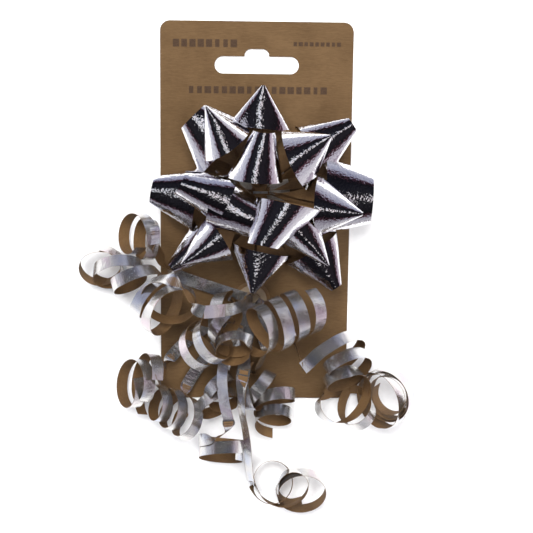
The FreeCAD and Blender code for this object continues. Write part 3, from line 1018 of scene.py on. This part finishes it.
@dataclass
class HangCard:
    """The kraft hang card, with plain bars in place of its print."""

    ink_thickness: float = 0.00003
    bar_share: float = 0.8
    narrowest_bar: float = 0.55
    rows: tuple[PrintLine, ...] = (
        PrintLine("print_heading", -0.0335, -0.0075, 0.0676, 0.0030, 8, 3),
        PrintLine("print_number", 0.0140, 0.0334, 0.0676, 0.0016, 9, 5),
        PrintLine("print_title", -0.0275, 0.0283, 0.0495, 0.0028, 17, 8),
    )

    def bar_tree(self) -> bpy.types.NodeTree:
        """The geometry tree that sets bars of uneven width in a row."""
        tree = geometry_tree("print_bars", {
            "Start": "Vector", "Step": "Vector", "Bar": "Vector", "Count": "Int",
            "Seed": "Int", "Ink": "Material"})
        given = add_node(tree, "NodeGroupInput").outputs
        line = add_node(tree, "GeometryNodeMeshLine", links={
            "Count": given["Count"], "Start Location": given["Start"], "Offset": given["Step"]})
        bar = add_node(tree, "GeometryNodeMeshCube", links={"Size": given["Bar"]})
        chance = add_node(tree, "FunctionNodeRandomValue", settings={"data_type": "FLOAT"},
                          links={"Seed": given["Seed"]})
        spread = add_node(tree, "ShaderNodeMapRange", values={3: self.narrowest_bar, 4: 1.0},
                          links={0: chance.outputs[1]})
        size = add_node(tree, "ShaderNodeCombineXYZ", values={1: 1.0, 2: 1.0},
                        links={0: spread.outputs[0]})
        placed = add_node(tree, "GeometryNodeInstanceOnPoints", links={
            "Points": line.outputs[0], "Instance": bar.outputs[0], "Scale": size.outputs[0]})
        whole = add_node(tree, "GeometryNodeRealizeInstances", links={0: placed.outputs[0]})
        inked = add_node(tree, "GeometryNodeSetMaterial", links={
            "Geometry": whole.outputs[0], "Material": given["Ink"]})
        add_node(tree, "NodeGroupOutput", links={0: inked.outputs[0]})
        return tree

    def build(self) -> None:
        """Prints the bars on the card's front."""
        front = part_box("hang_card")[1].z
        tree = self.bar_tree()
        for row in self.rows:
            step = (row.right - row.left) / row.bars
            piece = grown(row.name, bpy.data.meshes.new(row.name), tree, {
                "Start": (row.left + step / 2, row.middle, front + self.ink_thickness / 2),
                "Step": (step, 0.0, 0.0),
                "Bar": (step * self.bar_share, row.height, self.ink_thickness),
                "Count": row.bars, "Seed": row.seed, "Ink": PRINT_INK.material()})
            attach(piece, "card")
            LOG.info("print %s: %d bars", row.name, row.bars)


@dataclass
class Studio:
    """The camera, the floor and the light. Each lamp has a name, a place, a size and its share
    of the light energy."""

    camera_turn: Point = (9.10, 1.46, -0.45)
    camera_shift: Point = (-0.004538, 0.02105, -0.450)
    lens: float = 75.3
    sensor_width: float = 36.0
    clip_start: float = 0.01
    floor_size: float = 3.0
    floor_drop: float = 0.0002
    light_energy: float = 11.5
    lamps: tuple[tuple[str, Point, float, float], ...] = (
        ("key", (-0.15, 0.45, 0.75), 0.5, 1.0), ("fill", (0.35, -0.10, 0.80), 0.8, 0.55))
    room_strength: float = 1.1

    def build(self) -> None:
        """Makes all of it."""
        self.camera()
        self.floor()
        self.room()
        self.lights()
        LOG.info("studio ready")

    def camera(self) -> None:
        """Sets the camera over the card."""
        turns = [Matrix.Rotation(math.radians(angle), 3, axis)
                 for angle, axis in zip(self.camera_turn, "XYZ")]
        turned = turns[2] @ turns[1] @ turns[0]
        data = bpy.data.cameras.new("camera")
        data.lens = self.lens
        data.sensor_width = self.sensor_width
        data.clip_start = self.clip_start
        camera = bpy.data.objects.new("camera", data)
        place = -(turned.transposed() @ Vector(self.camera_shift))
        camera.matrix_world = Matrix.Translation(place) @ turned.transposed().to_4x4()
        bpy.context.scene.collection.objects.link(camera)
        bpy.context.scene.camera = camera

    def floor(self) -> None:
        """Lays the pale floor."""
        half = self.floor_size / 2
        z = -self.floor_drop
        floor = mesh_piece("floor", np.array([(-half, -half, z), (half, -half, z),
                                              (half, half, z), (-half, half, z)]),
                           [(0, 1, 2, 3)], [STUDIO_PAPER])

    def room(self) -> None:
        """Paints what the foil mirrors: a dark ceiling with one small lamp, bright walls."""
        world = bpy.data.worlds.new("room")
        world.use_nodes = True
        bpy.context.scene.world = world
        tree = world.node_tree
        tree.nodes.clear()
        where = add_node(tree, "ShaderNodeTexCoord")
        split = add_node(tree, "ShaderNodeSeparateXYZ", links={0: where.outputs["Generated"]})
        angle = add_node(tree, "ShaderNodeMath", settings={"operation": "ARCCOSINE"},
                         links={0: split.outputs["Z"]})
        height = add_node(tree, "ShaderNodeMath", settings={"operation": "DIVIDE"},
                          values={1: math.pi}, links={0: angle.outputs[0]})
        rings = add_node(tree, "ShaderNodeValToRGB", links={"Fac": height.outputs[0]}, ramp=[
            (0.000, "#ffffff"), (0.036, "#ffffff"), (0.052, "#201f23"), (0.150, "#26252a"),
            (0.255, "#18171a"), (0.300, "#5e3d46"), (0.332, "#b4b2be"), (0.450, "#dddce1"),
            (0.520, "#e8e8ec")])
        round_ = add_node(tree, "ShaderNodeMath", settings={"operation": "ARCTAN2"},
                          links={0: split.outputs["Y"], 1: split.outputs["X"]})
        part = add_node(tree, "ShaderNodeMapRange", values={1: -math.pi, 2: math.pi},
                        links={0: round_.outputs[0]})
        sides = add_node(tree, "ShaderNodeValToRGB", links={"Fac": part.outputs[0]}, ramp=[
            (0.00, "#e4e9f6"), (0.12, "#ffffff"), (0.22, "#8f8a92"), (0.34, "#ffffff"),
            (0.50, "#f0dfe6"), (0.62, "#ffffff"), (0.74, "#a8b0cc"), (0.86, "#ffffff"),
            (1.00, "#e4e9f6")])
        mixed = add_node(tree, "ShaderNodeMix", settings={
            "data_type": "RGBA", "blend_type": "MULTIPLY"}, values={0: 1.0},
            links={6: rings.outputs[0], 7: sides.outputs[0]})
        shine = add_node(tree, "ShaderNodeBackground", values={"Strength": self.room_strength},
                         links={"Color": mixed.outputs[2]})
        add_node(tree, "ShaderNodeOutputWorld", links={"Surface": shine.outputs[0]})

    def lights(self) -> None:
        """Hangs two soft boxes. The foil doesn't mirror them, so its ceiling stays dark."""
        for name, place, size, share in self.lamps:
            data = bpy.data.lights.new(name, "AREA")
            data.size = size
            data.energy = self.light_energy * share
            lamp = bpy.data.objects.new(name, data)
            lamp.location = place
            lamp.rotation_mode = "QUATERNION"
            lamp.rotation_quaternion = (-Vector(place)).to_track_quat("-Z", "Y")
            lamp.visible_glossy = False
            bpy.context.scene.collection.objects.link(lamp)
        bpy.context.scene.view_settings.view_transform = "Standard"


@dataclass
class CarriedParts:
    """Finishes of the parts whose modelled shape is shown as it is."""

    finishes: tuple[tuple[str, Finish], ...] = (
        ("hang_card", CARD_BOARD), ("bow_release_liner", RELEASE_LINER),
        ("spray_release_liner", RELEASE_LINER), ("bow_adhesive_pad", ADHESIVE_FOAM),
        ("spray_adhesive_pad", ADHESIVE_FOAM), ("bow_backing_disc", DISC_BOARD),
        ("bow_staple", STAPLE_STEEL),
    )

    def build(self, nodes: dict) -> None:
        """Puts each finish on its part."""
        for node, finish in self.finishes:
            data = nodes[node].data
            data.materials.clear()
            data.materials.append(finish.material())
            LOG.info("finish %s on %s", finish.name, node)


def main() -> None:
    """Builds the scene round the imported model."""
    logging.basicConfig(level=logging.INFO, format="%(name)s: %(message)s")
    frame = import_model()
    Studio().build()
    RibbonSpray().build(frame["joints"])
    StarBow().build()
    HangCard().build()
    CarriedParts().build(frame["nodes"])


if __name__ == "__main__":
    main()
